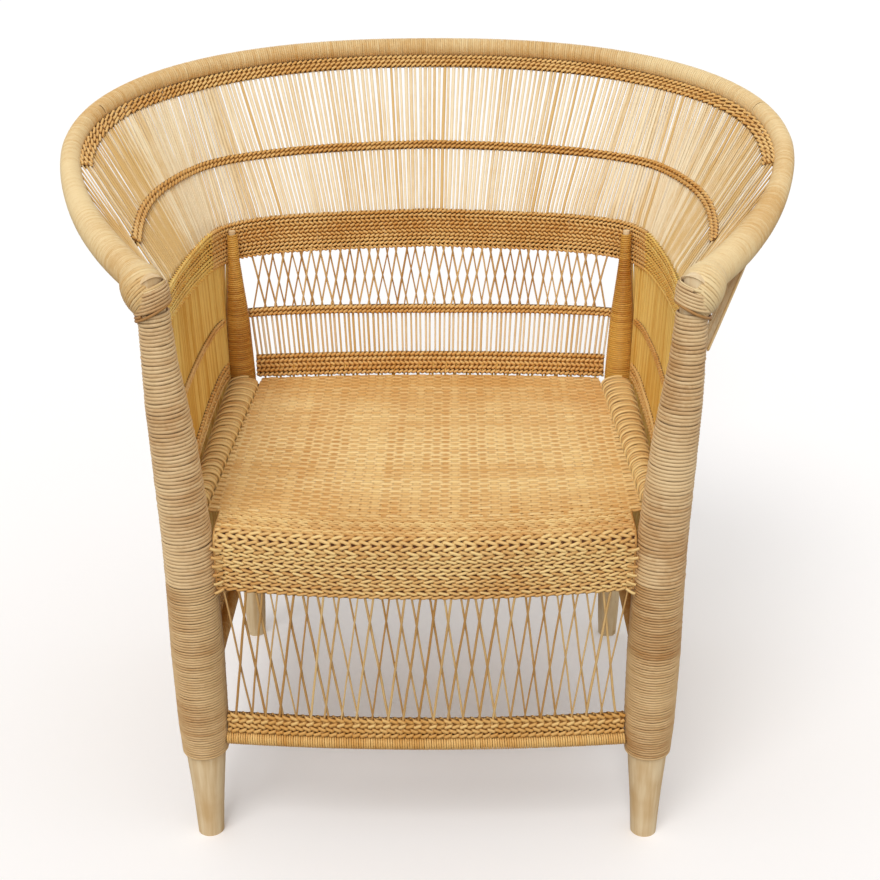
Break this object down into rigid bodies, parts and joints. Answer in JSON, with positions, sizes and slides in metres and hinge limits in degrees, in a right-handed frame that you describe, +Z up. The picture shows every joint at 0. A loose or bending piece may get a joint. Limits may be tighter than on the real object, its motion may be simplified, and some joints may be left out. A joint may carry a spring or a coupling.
{
  "type": "rattan armchair",
  "caption": "Tub-shaped cane armchair with wrapped pole legs, a bent top rail from arm to arm, open cane walls and a woven seat with a rolled front.",
  "frame": {"origin": "on the floor, in the middle of the outline's bottom", "axes": "+X across the chair to the right as the picture shows it, +Y from the front to the back, +Z up"},
  "size_m": [0.8602, 0.6481, 0.807],
  "materials": {
    "pale_wood": "bare matt",
    "rattan_pole": "bare matt",
    "cane_wrap": "satin",
    "lashing": "satin",
    "canes": "satin",
    "twined_bands": "satin",
    "seat_weave": "satin"
  },
  "bodies": {
    "root": {"arm_canes": "canes", "arm_lashing_left": "lashing", "arm_lashing_right": "lashing", "arm_peg_left": "pale_wood", "arm_peg_right": "pale_wood", "back_canes": "canes", "back_crossed_canes": "canes", "back_seat_band": "twined_bands", "back_skirt_canes": "canes", "back_waist_band": "twined_bands", "crown_canes_back": "canes", "crown_canes_left": "canes", "crown_canes_right": "canes", "front_crossed_canes": "canes", "front_post_left": "pale_wood", "front_post_right": "pale_wood", "front_post_wrap_left": "cane_wrap", "front_post_wrap_right": "cane_wrap", "lower_band_back": "twined_bands", "lower_band_front": "twined_bands", "lower_band_left": "twined_bands", "lower_band_right": "twined_bands", "lower_rail_back": "rattan_pole", "lower_rail_front": "rattan_pole", "lower_rail_left": "rattan_pole", "lower_rail_right": "rattan_pole", "lower_wrap_back": "cane_wrap", "lower_wrap_front": "cane_wrap", "lower_wrap_left": "cane_wrap", "lower_wrap_right": "cane_wrap", "lumbar_band": "twined_bands", "mid_band": "twined_bands", "rear_post_left": "pale_wood", "rear_post_right": "pale_wood", "rear_post_wrap_left": "cane_wrap", "rear_post_wrap_right": "cane_wrap", "seat_apron": "seat_weave", "seat_apron_lining": "seat_weave", "seat_mat": "seat_weave", "seat_mat_underside": "seat_weave", "seat_rail_back": "rattan_pole", "seat_rail_front": "rattan_pole", "seat_rail_left": "rattan_pole", "seat_rail_right": "rattan_pole", "seat_ribs": "canes", "seat_roll_left": "cane_wrap", "seat_roll_right": "cane_wrap", "side_canes_left": "canes", "side_canes_right": "canes", "side_seat_band_left": "twined_bands", "side_seat_band_right": "twined_bands", "side_waist_band_left": "twined_bands", "side_waist_band_right": "twined_bands", "top_band": "twined_bands", "top_rail": "rattan_pole", "top_rail_wrap": "cane_wrap"}
  },
  "joints": []
}
